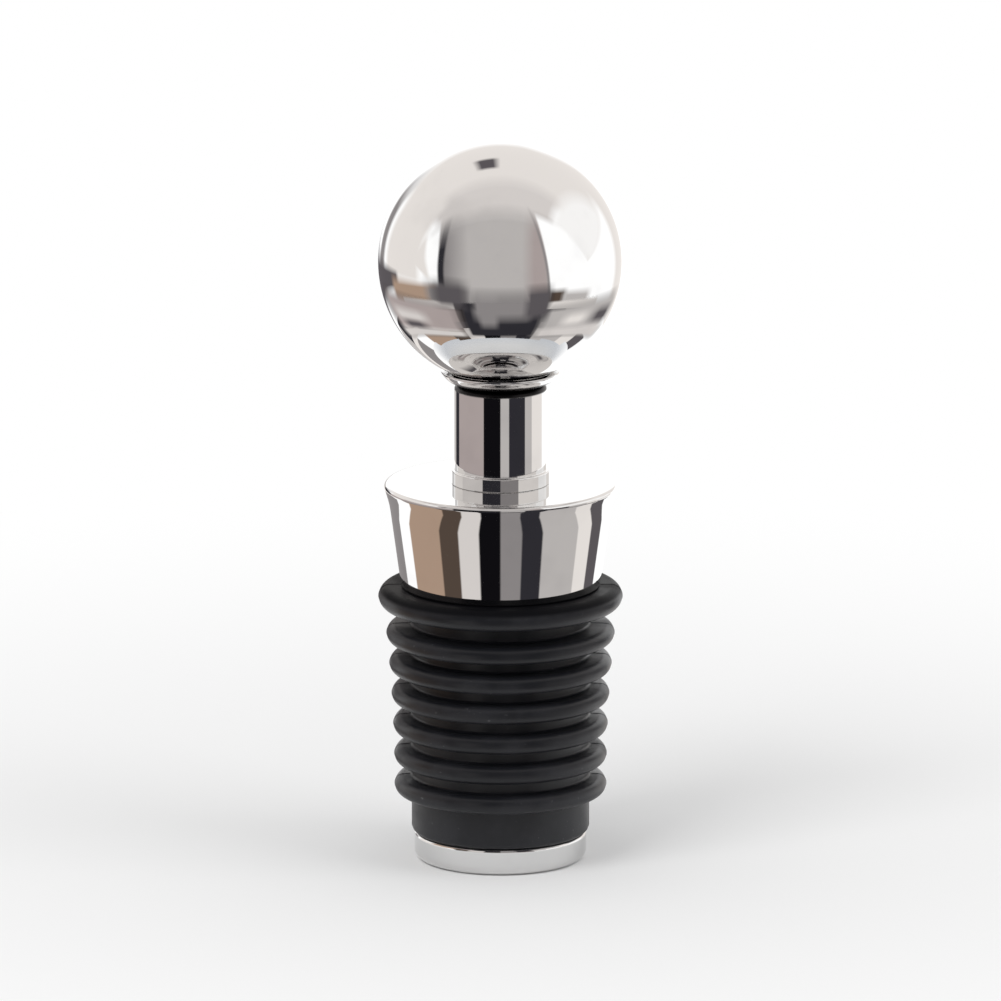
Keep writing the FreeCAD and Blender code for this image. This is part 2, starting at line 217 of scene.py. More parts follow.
def turned_mesh(
    name: str,
    outline: Outline,
    angles: np.ndarray,
    relief: Callable[[np.ndarray, np.ndarray], tuple[np.ndarray, np.ndarray]] | None = None,
) -> Mesh:
    """Carries an outline round the axis.

    The point (r, h) of the outline stands at (r cos a, r sin a, h) at each angle a, and its normal
    turns with it. Where the outline is open, each end is one point on the axis with a fan of
    triangles. A relief moves a point out along its normal n by a height t, and leans the normal
    back against the slope s of that height round the axis: n - s * (-sin a, cos a, 0).

    Args:
        name: the mesh's name.
        outline: the half section's edge.
        angles: the angles of the columns, rising through one turn.
        relief: takes the points' distances from the axis and the angles, as a column and a row,
            and gives the heights and the slopes.

    Returns:
        The mesh.
    """
    inner = slice(None) if outline.closed else slice(1, -1)
    radii, heights = outline.points[inner].T[..., None]
    out, up = outline.normals[inner].T[..., None]
    cosines, sines = np.cos(angles), np.sin(angles)
    level = np.ones_like(angles)
    vertices = np.stack((radii * cosines, radii * sines, heights * level), axis=-1)
    normals = np.stack((out * cosines, out * sines, up * level), axis=-1)
    if relief is not None:
        raised, slopes = relief(radii, angles)
        vertices = vertices + raised[..., None] * normals
        round_axis = np.stack((-sines, cosines, 0 * level), axis=-1)
        normals = normals - slopes[..., None] * round_axis
        normals /= np.linalg.norm(normals, axis=-1, keepdims=True)
    rows, columns = vertices.shape[:2]
    grid = np.arange(rows * columns).reshape(rows, columns)
    if outline.closed:
        grid = np.vstack((grid, grid[:1]))
    grid = np.hstack((grid, grid[:, :1]))
    faces = quads(grid)
    vertices, normals = vertices.reshape(-1, 3), normals.reshape(-1, 3)
    if not outline.closed:
        faces += fans(grid, len(vertices), len(vertices) + 1)
        ends = outline.points[[0, -1], 1]
        vertices = np.vstack((vertices, [(0, 0, ends[0]), (0, 0, ends[1])]))
        poles = np.sign(outline.normals[[0, -1], 1])
        normals = np.vstack((normals, [(0, 0, poles[0]), (0, 0, poles[1])]))
    mesh = new_mesh(name, vertices, faces)
    mesh.shade_smooth()
    mesh.normals_split_custom_set_from_vertices(normals.tolist())
    return mesh


# Node wiring, shared effects and finishes


class Wiring:
    """Adds nodes to a node tree and links them."""

    def __init__(self, tree: NodeTree) -> None:
        """Takes the tree to work in."""
        self.tree = tree

    def add(self, kind: str, inputs: dict | None = None, **settings: object) -> Node:
        """Adds a node.

        Args:
            kind: the node's type name.
            inputs: for each input, by name or number, a value to set or a socket to link. A
                colour is given by three numbers.
            settings: attributes of the node.

        Returns:
            The node.
        """
        node = self.tree.nodes.new(kind)
        for key, value in settings.items():
            setattr(node, key, value)
        for key, value in (inputs or {}).items():
            socket = node.inputs[key]
            if isinstance(value, NodeSocket):
                self.tree.links.new(value, socket)
            else:
                socket.default_value = (*value, 1.0) if socket.type == "RGBA" else value
        return node

    def group(self, tree: NodeTree, inputs: dict) -> Node:
        """Adds a node group with its own values."""
        return self.add("ShaderNodeGroup", inputs, node_tree=tree)

    def math(self, operation: str, *terms: object, clamp: bool = False) -> NodeSocket:
        """The result of a Math node on sockets or numbers."""
        settings = {"operation": operation, "use_clamp": clamp}
        return self.add("ShaderNodeMath", dict(enumerate(terms)), **settings).outputs[0]

    def between(self, share: NodeSocket, first: float, last: float) -> NodeSocket:
        """A number between two others: first where share is 0 and last where it is 1."""
        return self.math("MULTIPLY_ADD", share, last - first, first)

    def step(self, past: NodeSocket, edge: object) -> NodeSocket:
        """A step from 0 to 1 where past is 0, spread over an edge."""
        return self.math("ADD", self.math("DIVIDE", past, edge), 0.5, clamp=True)

    def mix(self, share: object, under: object, over: object) -> NodeSocket:
        """A colour between two others: under where share is 0 and over where it is 1."""
        node = self.add("ShaderNodeMix", {0: share, 6: under, 7: over}, data_type="RGBA")
        return node.outputs[2]

    def rescale(
        self, value: object, low: object, high: object, first: float, last: float
    ) -> NodeSocket:
        """Maps low..high smoothly to first..last and holds it there outside."""
        inputs = dict(enumerate((value, low, high, first, last)))
        return self.add("ShaderNodeMapRange", inputs, interpolation_type="SMOOTHSTEP").outputs[0]

    def noise(self, vector: object, scale: object, detail: float, **more: float) -> NodeSocket:
        """The value of a noise texture."""
        inputs = {"Vector": vector, "Scale": scale, "Detail": detail, **more}
        return self.add("ShaderNodeTexNoise", inputs).outputs[0]

    def parts(self, vector: NodeSocket) -> bpy.types.bpy_prop_collection:
        """The x, y and z of a vector."""
        return self.add("ShaderNodeSeparateXYZ", {0: vector}).outputs

    def mix_shaders(self, share: object, first: Node, second: Node) -> Node:
        """The first shader where share is 0 and the second where it is 1."""
        inputs = {0: share, 1: first.outputs[0], 2: second.outputs[0]}
        return self.add("ShaderNodeMixShader", inputs)

    def surface(self, shader: Node) -> None:
        """Gives a material its shader."""
        self.add("ShaderNodeOutputMaterial", {"Surface": shader.outputs[0]})


def new_group(name: str, takes: dict[str, str], gives: dict[str, str]) -> tuple:
    """Starts a shader node group.

    Args:
        name: the group's name.
        takes: its inputs, each with its socket type.
        gives: its outputs, each with its socket type.

    Returns:
        The group, its wiring and the sockets of its inputs.
    """
    group = bpy.data.node_groups.new(name, "ShaderNodeTree")
    for sockets, way in ((takes, "INPUT"), (gives, "OUTPUT")):
        for socket, kind in sockets.items():
            group.interface.new_socket(socket, in_out=way, socket_type=f"NodeSocket{kind}")
    wiring = Wiring(group)
    return group, wiring, wiring.add("NodeGroupInput").outputs


class Effects:
    """The effects that several materials share, each built once as a node group."""

    def __init__(self) -> None:
        """Builds the groups."""
        self.mottle = self._mottle()
        self.grain = self._grain()
        self.hairlines = self._hairlines()
        self.card = self._card()
        self.stripe = self._stripe()

    @staticmethod
    def _mottle() -> NodeTree:
        """Soft cloudy patches: a noise, spread so that Low gives 0 and High gives 1."""
        takes = {"Vector": "Vector", "Scale": "Float", "Low": "Float", "High": "Float"}
        group, wiring, here = new_group("Mottle", takes, {"Mask": "Float"})
        noise = wiring.noise(here["Vector"], here["Scale"], 3.0, Roughness=0.55)
        mask = wiring.rescale(noise, here["Low"], here["High"], 0, 1)
        wiring.add("NodeGroupOutput", {"Mask": mask})
        return group

    @staticmethod
    def _grain() -> NodeTree:
        """Fine grain for a bump: a noise over one six times as broad, three parts to one."""
        takes = {"Vector": "Vector", "Scale": "Float"}
        group, wiring, here = new_group("Grain", takes, {"Height": "Float"})
        fine = wiring.noise(here["Vector"], here["Scale"], 2.0)
        broad_scale = wiring.math("DIVIDE", here["Scale"], 6.0)
        broad = wiring.noise(here["Vector"], broad_scale, 2.0)
        fine_share = wiring.math("MULTIPLY", fine, 0.75)
        height = wiring.math("MULTIPLY_ADD", broad, 0.25, fine_share)
        wiring.add("NodeGroupOutput", {"Height": height})
        return group

    @staticmethod
    def _hairlines() -> NodeTree:
        """Hairline scratches: where a stretched noise passes its middle value, within Width."""
        takes = {"Vector": "Vector", "Scale": "Float", "Width": "Float"}
        group, wiring, here = new_group("Hairlines", takes, {"Mask": "Float"})
        masks = []
        for turn in (0.5, 1.9):
            stretched = wiring.add("ShaderNodeMapping", {
                "Vector": here["Vector"], "Rotation": (turn, 0.7 * turn, 0.3),
                "Scale": (1.0, 0.06, 0.35),
            })
            noise = wiring.noise(stretched.outputs[0], here["Scale"], 1.0)
            off = wiring.math("ABSOLUTE", wiring.math("SUBTRACT", noise, 0.5))
            masks.append(wiring.rescale(off, 0.0, here["Width"], 1, 0))
        wiring.add("NodeGroupOutput", {"Mask": wiring.math("MAXIMUM", *masks)})
        return group

    @staticmethod
    def _card() -> NodeTree:
        """A rectangle in two angles, Across and Along, that has its own colour.

        It is where both distances from its middle, wrapped at half a turn, are below its halves.
        Its sides fade over Side Edge and its ends over End Edge. A bow moves its middle across by
        Bow * (1 - t * t), where t is the distance along over Half Along.
        """
        numbers = (
            "Across", "Along", "Middle Across", "Half Across", "Middle Along", "Half Along",
            "Side Edge", "End Edge", "Bow",
        )
        takes = {"Under": "Color", "Card": "Color"} | dict.fromkeys(numbers, "Float")
        gives = {"Colour": "Color", "Share": "Float"}
        group, wiring, here = new_group("Card", takes, gives)
        off_along = wiring.math("SUBTRACT", here["Along"], here["Middle Along"])
        off_along = wiring.math("WRAP", off_along, 180.0, -180.0)
        end_share = wiring.math("DIVIDE", off_along, here["Half Along"])
        straight = wiring.math("SUBTRACT", 1.0, wiring.math("MULTIPLY", end_share, end_share))
        middle = wiring.math("MULTIPLY_ADD", straight, here["Bow"], here["Middle Across"])
        off_across = wiring.math("SUBTRACT", here["Across"], middle)
        off_across = wiring.math("WRAP", off_across, 180.0, -180.0)
        share = 1.0
        for off, half, edge in (
            (off_across, here["Half Across"], here["Side Edge"]),
            (off_along, here["Half Along"], here["End Edge"]),
        ):
            inside = wiring.math("SUBTRACT", half, wiring.math("ABSOLUTE", off))
            share = wiring.math("MULTIPLY", wiring.step(inside, edge), share)
        colour = wiring.mix(share, here["Under"], here["Card"])
        wiring.add("NodeGroupOutput", {"Colour": colour, "Share": share})
        return group

    @staticmethod
    def _stripe() -> NodeTree:
        """One more stripe: its colour covers what is under it from Start on, over Edge."""
        takes = {"Under": "Color", "Stripe": "Color"}
        takes |= dict.fromkeys(("Across", "Start", "Edge"), "Float")
        group, wiring, here = new_group("Stripe", takes, {"Colour": "Color"})
        past = wiring.math("SUBTRACT", here["Across"], here["Start"])
        share = wiring.step(past, here["Edge"])
        colour = wiring.mix(share, here["Under"], here["Stripe"])
        wiring.add("NodeGroupOutput", {"Colour": colour})
        return group

    def place_card(
        self, wiring: Wiring, card: "Card", under: object, across: object, along: object
    ) -> Node:
        """Lays a card over what is under it, for the two angles or lengths given."""
        return wiring.group(self.card, {
            "Under": under, "Card": card.colour, "Across": across, "Along": along,
            "Middle Across": (card.left + card.right) / 2,
            "Half Across": (card.right - card.left) / 2,
            "Middle Along": (card.bottom + card.top) / 2,
            "Half Along": (card.top - card.bottom) / 2,
            "Side Edge": card.side_edge, "End Edge": card.end_edge, "Bow": card.bow,
        })

    def patches(
        self, wiring: Wiring, place: NodeSocket, scale: float, spread: tuple[float, float]
    ) -> NodeSocket:
        """A mask of soft patches: 0 where the noise is below the spread and 1 above it."""
        inputs = {"Vector": place, "Scale": scale, "Low": spread[0], "High": spread[1]}
        return wiring.group(self.mottle, inputs).outputs[0]

    def scratches(
        self, wiring: Wiring, place: NodeSocket, scale: float, width: float
    ) -> NodeSocket:
        """A mask of hairline scratches."""
        inputs = {"Vector": place, "Scale": scale, "Width": width}
        return wiring.group(self.hairlines, inputs).outputs[0]

    def bump(self, wiring: Wiring, place: NodeSocket, scale: float, depth: float) -> NodeSocket:
        """The normal of a surface with a fine grain."""
        grain = wiring.group(self.grain, {"Vector": place, "Scale": scale}).outputs[0]
        inputs = {"Strength": 1.0, "Distance": depth, "Height": grain}
        return wiring.add("ShaderNodeBump", inputs).outputs[0]


def new_material(name: str) -> tuple[Material, Wiring, NodeSocket]:
    """An empty node material.

    Args:
        name: the material's name.

    Returns:
        The material, its wiring and the piece's own coordinates.
    """
    material = bpy.data.materials.new(name)
    material.use_nodes = True
    material.node_tree.nodes.clear()
    wiring = Wiring(material.node_tree)
    place = wiring.add("ShaderNodeTexCoord").outputs["Object"]
    return material, wiring, place


@dataclass(frozen=True)
class Finish:
    """The surface of a material slot."""

    name: ClassVar[str]

    def inputs(self, effects: Effects, wiring: Wiring, place: NodeSocket) -> dict[str, object]:
        """The inputs of the Principled shader, for the piece's own coordinates."""
        raise NotImplementedError

    def material(self, effects: Effects) -> Material:
        """Makes the material.

        Args:
            effects: the shared node groups.

        Returns:
            The material.
        """
        material, wiring, place = new_material(self.name)
        inputs = self.inputs(effects, wiring, place)
        wiring.surface(wiring.add("ShaderNodeBsdfPrincipled", inputs))
        return material


@dataclass(frozen=True)
class ChromeFinish(Finish):
    """Mirror-polished chrome plate, with faint smudges, hairline scratches and orange peel.

    Painted shade fills the narrow groove at the joint under the ball: the plate turns near black
    and dull there, from 0.4 mm below the joint to 0.6 mm above it.
    """

    name: ClassVar[str] = "mirror chrome"
    joint: float
    clean: Colour = (0.72, 0.717, 0.714)
    smudged: Colour = (0.66, 0.657, 0.656)
    clean_roughness: float = 0.02
    smudge_roughness: float = 0.06
    scratch_roughness: float = 0.10
    smudge_scale: float = 160.0
    smudge_spread: tuple[float, float] = (0.48, 0.75)
    scratch_scale: float = 900.0
    scratch_width: float = 0.004
    peel_scale: float = 700.0
    peel_depth: float = 0.0004 * MM
    # painted shade: a near-black, dulled band in the groove at the joint under the ball
    groove_shade: Colour = (0.02, 0.019, 0.02)
    groove_shade_roughness: float = 0.32
    groove_shade_low: float = 0.4 * MM
    groove_shade_high: float = 0.6 * MM
    groove_shade_edge: float = 0.15 * MM

    def inputs(self, effects: Effects, wiring: Wiring, place: NodeSocket) -> dict[str, object]:
        """Plate under smudges and scratches, and painted shade at the joint."""
        smudge = effects.patches(wiring, place, self.smudge_scale, self.smudge_spread)
        scratch = effects.scratches(wiring, place, self.scratch_scale, self.scratch_width)
        roughness = wiring.between(smudge, self.clean_roughness, self.smudge_roughness)
        rise = wiring.math("MULTIPLY", scratch, self.scratch_roughness - self.smudge_roughness)
        roughness = wiring.math("ADD", roughness, rise)
        # painted shade at the joint: near black and rougher where the groove under the ball lies
        # in shade
        height = wiring.parts(place)[2]
        low, high = self.joint - self.groove_shade_low, self.joint + self.groove_shade_high
        above = wiring.rescale(height, low - self.groove_shade_edge, low, 0, 1)
        below = wiring.rescale(height, high - self.groove_shade_edge, high, 1, 0)
        groove_shade = wiring.math("MULTIPLY", above, below)
        groove_shade_dulling = wiring.math("MULTIPLY", groove_shade, self.groove_shade_roughness)
        plate = wiring.mix(smudge, self.clean, self.smudged)
        return {
            "Base Color": wiring.mix(groove_shade, plate, self.groove_shade),
            "Metallic": 1.0,
            "Roughness": wiring.math("ADD", roughness, groove_shade_dulling),
            "Normal": effects.bump(wiring, place, self.peel_scale, self.peel_depth),
        }


@dataclass(frozen=True)
class RubberFinish(Finish):
    """Moulded black rubber: a satin skin with a fine grain and a little pale dust.

    The lip's top carries painted shade where it meets the flange: from 0.3 mm below the top it
    is blacker, with less shine, and it turns into the satin skin by 0.8 mm below the top.
    """

    name: ClassVar[str] = "moulded rubber"
    lip_top: float
    skin: Colour = (0.009, 0.0095, 0.012)
    worn: Colour = (0.016, 0.0165, 0.020)
    dust: Colour = (0.16, 0.16, 0.165)
    dust_share: float = 0.35
    skin_roughness: float = 0.36
    worn_roughness: float = 0.50
    wear_scale: float = 260.0
    wear_spread: tuple[float, float] = (0.42, 0.70)
    dust_scale: float = 2600.0
    dust_spread: tuple[float, float] = (0.66, 0.74)
    grain_scale: float = 9000.0
    grain_depth: float = 0.012 * MM
    # painted shade: the lip's top goes blacker and less shiny where it meets the flange
    lip_shade: Colour = (0.004, 0.004, 0.005)
    lip_shade_low: float = 0.8 * MM
    lip_shade_high: float = 0.3 * MM
    refraction: float = 1.52
    shine: float = 0.3
    lip_shade_shine: float = 0.03

    def inputs(self, effects: Effects, wiring: Wiring, place: NodeSocket) -> dict[str, object]:
        """Skin under wear and dust, and painted shade at the lip's top."""
        wear = effects.patches(wiring, place, self.wear_scale, self.wear_spread)
        specks = effects.patches(wiring, place, self.dust_scale, self.dust_spread)
        dusty = wiring.math("MULTIPLY", wiring.math("MULTIPLY", specks, wear), self.dust_share)
        skin = wiring.mix(dusty, wiring.mix(wear, self.skin, self.worn), self.dust)
        # painted shade: blacker and with less shine at the lip's top, under the flange
        low, high = self.lip_top - self.lip_shade_low, self.lip_top - self.lip_shade_high
        lip_shade = wiring.rescale(wiring.parts(place)[2], low, high, 0, 1)
        return {
            "Base Color": wiring.mix(lip_shade, skin, self.lip_shade),
            "Roughness": wiring.between(wear, self.skin_roughness, self.worn_roughness),
            "IOR": self.refraction,
            "Specular IOR Level": wiring.rescale(lip_shade, 0.0, 1.0, self.shine, self.lip_shade_shine),
            "Normal": effects.bump(wiring, place, self.grain_scale, self.grain_depth),
        }


@dataclass(frozen=True)
class SteelFinish(Finish):
    """Zinc-plated steel with a rolled thread: mottled, and scored by its nut."""

    name: ClassVar[str] = "zinc-plated steel"
    bright: Colour = (0.66, 0.67, 0.66)
    dull: Colour = (0.45, 0.46, 0.46)
    bright_roughness: float = 0.28
    dull_roughness: float = 0.46
    mottle_scale: float = 700.0
    mottle_spread: tuple[float, float] = (0.35, 0.65)
    scratch_scale: float = 1500.0
    scratch_width: float = 0.02
    scratch_share: float = 0.5
    grain_scale: float = 6000.0
    grain_depth: float = 0.004 * MM

    def inputs(self, effects: Effects, wiring: Wiring, place: NodeSocket) -> dict[str, object]:
        """Mottled plate under bright scores."""
        dull = effects.patches(wiring, place, self.mottle_scale, self.mottle_spread)
        scratch = effects.scratches(wiring, place, self.scratch_scale, self.scratch_width)
        scored = wiring.math("MULTIPLY", scratch, self.scratch_share)
        plate = wiring.mix(dull, self.bright, self.dull)
        return {
            "Base Color": wiring.mix(scored, plate, self.bright),
            "Metallic": 1.0,
            "Roughness": wiring.between(dull, self.bright_roughness, self.dull_roughness),
            "Normal": effects.bump(wiring, place, self.grain_scale, self.grain_depth),
        }


class Finishes:
    """The material of each slot."""

    def __init__(self, effects: Effects) -> None:
        """Makes one material for each slot."""
        self.by_slot = {
            Slot.CHROME: ChromeFinish(joint=span("neck_stem")[1]).material(effects),
            Slot.RUBBER: RubberFinish(lip_top=span("ribbed_plug")[1]).material(effects),
            Slot.STEEL: SteelFinish().material(effects),
        }


# The pieces


def span(node: str) -> tuple[float, float, float]:
    """Height of a node's foot and top, and its outer radius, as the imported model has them."""
    low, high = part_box(node)
    return low.z, high.z, (high.x - low.x) / 2


@dataclass
class Piece:
    """A turned piece of the stopper, which stands for the CAD node of the same name."""

    node: str
    slot: Slot = Slot.CHROME
    columns: int = 256

    def __post_init__(self) -> None:
        """Reads where the node stands."""
        self.foot, self.top, self.radius = span(self.node)

    def outline(self) -> Outline:
        """The half section's edge."""
        raise NotImplementedError

    def mesh(self) -> Mesh:
        """The piece's mesh."""
        return turned_mesh(self.node, self.outline(), even_angles(self.columns))

    def build(self, finishes: Finishes) -> Object:
        """Makes the piece, dresses it and puts it on its body.

        Args:
            finishes: the material of each slot.

        Returns:
            The piece's object.
        """
        mesh = self.mesh()
        piece = new_object(f"{self.node}_turned", mesh)
        mesh.materials.append(finishes.by_slot[self.slot])
        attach(piece, "root")
        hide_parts(self.node)
        LOG.info("%s: %d faces", piece.name, len(mesh.polygons))
        return piece


@dataclass
class BallKnob(Piece):
    """The ball on its thin-rimmed cupped foot, with the tapped hole that takes the stud."""

    node: str = "ball_knob"
    seat_radius: float = 3.3 * MM
    cup_height: float = 1.05 * MM
    rim_radius: float = 5.15 * MM
    rim_thickness: float = 0.15 * MM
    rim_round: float = 0.05 * MM
    groove_bevel: float = 0.04 * MM
    hole_radius: float = 2.04 * MM
    countersink: float = 0.4 * MM
    hole_depth: float = 8.5 * MM
    tip_height: float = 1.224 * MM

    def outline(self) -> Outline:
        """From the bottom of the hole round the foot's rim and up the ball to its top.

        The foot's cup is an arc that leaves the seat level and ends at the rim: with the reach a
        and the height h its radius is (a * a + h * h) / (2 * h). The ball's centre stands one
        radius under its top. The ball sinks into the flat top of the foot, and a bevel a few
        hundredths wide takes the sharpness off the groove between them.
        """
        mouth, wall_end = self.foot, self.foot + self.hole_depth
        centre = self.top - self.radius
        rim_low = mouth + self.cup_height
        rim_high = rim_low + self.rim_thickness
        groove = math.sqrt(self.radius**2 - (rim_high - centre) ** 2)
        inside = rounded([
            Corner(0.0, wall_end + self.tip_height),
            Corner(self.hole_radius, wall_end),
            Corner(self.hole_radius, mouth + self.countersink),
            Corner(self.hole_radius + self.countersink, mouth),
            Corner(self.seat_radius - BROKEN_EDGE, mouth),
        ], closed=False)
        reach = self.rim_radius - self.seat_radius
        cup_radius = (reach**2 + self.cup_height**2) / (2 * self.cup_height)
        cup_end = math.asin(self.cup_height / cup_radius - 1) - self.rim_round / cup_radius
        cup_centre = (self.seat_radius, mouth + cup_radius)
        cup = arc(cup_centre, cup_radius, -math.pi / 2, cup_end, ARC_STEP)
        rim = rounded([
            Corner(self.rim_radius, rim_low + self.rim_round),
            Corner(self.rim_radius, rim_high, self.rim_round),
            Corner(groove + self.groove_bevel, rim_high),
        ], closed=False)
        start = math.atan2(rim_high - centre, groove) + self.groove_bevel / self.radius
        ball = arc((0.0, centre), self.radius, start, math.pi / 2, BALL_STEP)
        return join([inside, cup, rim, ball])


@dataclass
class NeckStem(Piece):
    """The turned stem between the flange and the ball, with the collar at its foot."""

    node: str = "neck_stem"
    stem_radius: float = 4.0 * MM
    bore_radius: float = 2.2 * MM
    collar_height: float = 1.2 * MM
    collar_round: float = 0.15 * MM
    top_round: float = 0.45 * MM
    columns: int = 224

    def outline(self) -> Outline:
        """Up the outside, over the rounded shoulder and down the bore."""
        shoulder = self.foot + self.collar_height
        return rounded([
            Corner(self.bore_radius, self.foot),
            Corner(self.radius, self.foot),
            Corner(self.radius, shoulder, self.collar_round),
            Corner(self.stem_radius, shoulder),
            Corner(self.stem_radius, self.top, self.top_round),
            Corner(self.bore_radius, self.top),
        ], closed=True)


@dataclass
class TaperedFlange(Piece):
    """The tapered flange above the bottle, with the spigot that carries the plug."""

    node: str = "tapered_flange"
    foot_radius: float = 8.65 * MM
    top_radius: float = 10.25 * MM
    height: float = 9.1 * MM
    rim_height: float = 1.7 * MM
    rim_flare: float = 0.35 * MM
    rim_blend: float = 8.0 * MM
    top_round: float = 0.35 * MM
    foot_round: float = 0.25 * MM
    spigot_radius: float = 4.8 * MM
    lead_in: float = 0.4 * MM
    bore_radius: float = 2.2 * MM

    def outline(self) -> Outline:
        """Up the spigot, out under the flange, up its taper and flared rim and down the bore."""
        rest = self.top - self.height
        taper = (self.top_radius - self.rim_flare - self.foot_radius) / self.height
        rim_foot = self.foot_radius + taper * (self.height - self.rim_height)
        return rounded([
            Corner(self.bore_radius, self.foot),
            Corner(self.spigot_radius - self.lead_in, self.foot),
            Corner(self.spigot_radius, self.foot + self.lead_in),
            Corner(self.spigot_radius, rest),
            Corner(self.foot_radius, rest, self.foot_round),
            Corner(rim_foot, self.top - self.rim_height, self.rim_blend),
            Corner(self.top_radius, self.top, self.top_round),
            Corner(self.bore_radius, self.top),
        ], closed=True)


@dataclass
class RibbedPlug(Piece):
    """The rubber plug: a sleeve with a round lip on top, shrinking ribs and a parting line."""

    node: str = "ribbed_plug"
    slot: Slot = Slot.RUBBER
    columns: int = 264
    bore_radius: float = 4.8 * MM
    wall_radius: float = 7.7 * MM
    lip_thickness: float = 1.95 * MM
    lip_gap: float = 1.55 * MM
    rib_count: int = 6
    rib_thickness: float = 1.5 * MM
    rib_gap: float = 1.2 * MM
    first_reach: float = 2.2 * MM
    last_reach: float = 1.5 * MM
    flank_lean: float = 0.08 * MM
    root_round: float = 0.25 * MM
    nose_round: float = 0.5 * MM
    seam_height: float = 0.035 * MM
    seam_width: float = 0.07 * MM
    seam_angles: tuple[float, float] = (0.0, math.pi)
    seam_reach: float = 0.03
    seam_columns: int = 13

    def outline(self) -> Outline:
        """Up the outside, rib by rib, over the lip and down the bore.

        The reach of the ribs falls from the first, under the lip, to the last along a parabola:
        last + (first - last) * (1 - i / (count - 1)) ** 2.
        """
        lip_low = self.top - self.lip_thickness
        corners = [
            Corner(self.bore_radius, self.foot),
            Corner(self.wall_radius, self.foot, self.nose_round),
        ]
        for i in reversed(range(self.rib_count)):
            high = lip_low - self.lip_gap - i * (self.rib_thickness + self.rib_gap)
            low = high - self.rib_thickness
            share_left = (1 - i / (self.rib_count - 1)) ** 2
            fall = (self.first_reach - self.last_reach) * share_left
            rim = self.wall_radius + self.last_reach + fall
            corners += [
                Corner(self.wall_radius, low - self.flank_lean, self.root_round),
                Corner(rim, low, self.rib_thickness / 2),
                Corner(rim, high, self.rib_thickness / 2),
                Corner(self.wall_radius, high + self.flank_lean, self.root_round),
            ]
        corners += [
            Corner(self.wall_radius, lip_low, self.root_round),
            Corner(self.radius, lip_low, self.lip_thickness / 2),
            Corner(self.radius, self.top, self.lip_thickness / 2),
            Corner(self.bore_radius, self.top),
        ]
        return rounded(corners, closed=True)

    def seam(self, radii: np.ndarray, angles: np.ndarray) -> tuple[np.ndarray, np.ndarray]:
        """The parting line: a low ridge height * exp(-(s / width) ** 2) on two meridians.

        Args:
            radii: distances from the axis, as a column.
            angles: the angles, as a row.

        Returns:
            The ridge's height, and its slope along s, the way round the axis from the meridian.
        """
        outside = radii > self.wall_radius - self.root_round
        heights = np.zeros(np.broadcast_shapes(radii.shape, angles.shape))
        slopes = np.zeros_like(heights)
        for meridian in self.seam_angles:
            off = (angles - meridian + math.pi) % FULL_TURN - math.pi
            along = radii * off
            ridge = self.seam_height * np.exp(-((along / self.seam_width) ** 2)) * outside
            heights += ridge
            slopes += ridge * (-2 * along / self.seam_width**2)
        return heights, slopes

    def mesh(self) -> Mesh:
        """The plug's mesh, with more columns at the parting line."""
        close = np.linspace(-self.seam_reach, self.seam_reach, self.seam_columns)
        near_seams = np.concatenate([meridian + close for meridian in self.seam_angles])
        even = even_angles(self.columns)
        spacing = FULL_TURN / self.columns
        past = even[:, None] - np.array(self.seam_angles)
        apart = np.abs((past + math.pi) % FULL_TURN - math.pi)
        kept = even[apart.min(axis=1) > close[-1] + spacing / 4]
        angles = np.sort(np.concatenate((kept, near_seams % FULL_TURN)))
        return turned_mesh(self.node, self.outline(), angles, self.seam)


@dataclass
class EndCap(Piece):
    """The cap under the plug, with its tapped boss inside the plug."""

    node: str = "end_cap"
    columns: int = 224
    thickness: float = 2.4 * MM
    foot_round: float = 0.8 * MM
    shoulder_round: float = 0.3 * MM
    boss_radius: float = 4.8 * MM
    hole_radius: float = 2.04 * MM
    countersink: float = 0.4 * MM
    floor: float = 1.2 * MM
    tip_height: float = 1.224 * MM

    def outline(self) -> Outline:
        """From the middle of the foot round the rim, up the boss and down the tapped hole."""
        rim = self.foot + self.thickness
        return rounded([
            Corner(0.0, self.foot),
            Corner(self.radius, self.foot, self.foot_round),
            Corner(self.radius, rim, self.shoulder_round),
            Corner(self.boss_radius, rim),
            Corner(self.boss_radius, self.top),
            Corner(self.hole_radius + self.countersink, self.top),
            Corner(self.hole_radius, self.top - self.countersink),
            Corner(self.hole_radius, self.foot + self.floor + self.tip_height),
            Corner(0.0, self.foot + self.floor),
        ], closed=False)


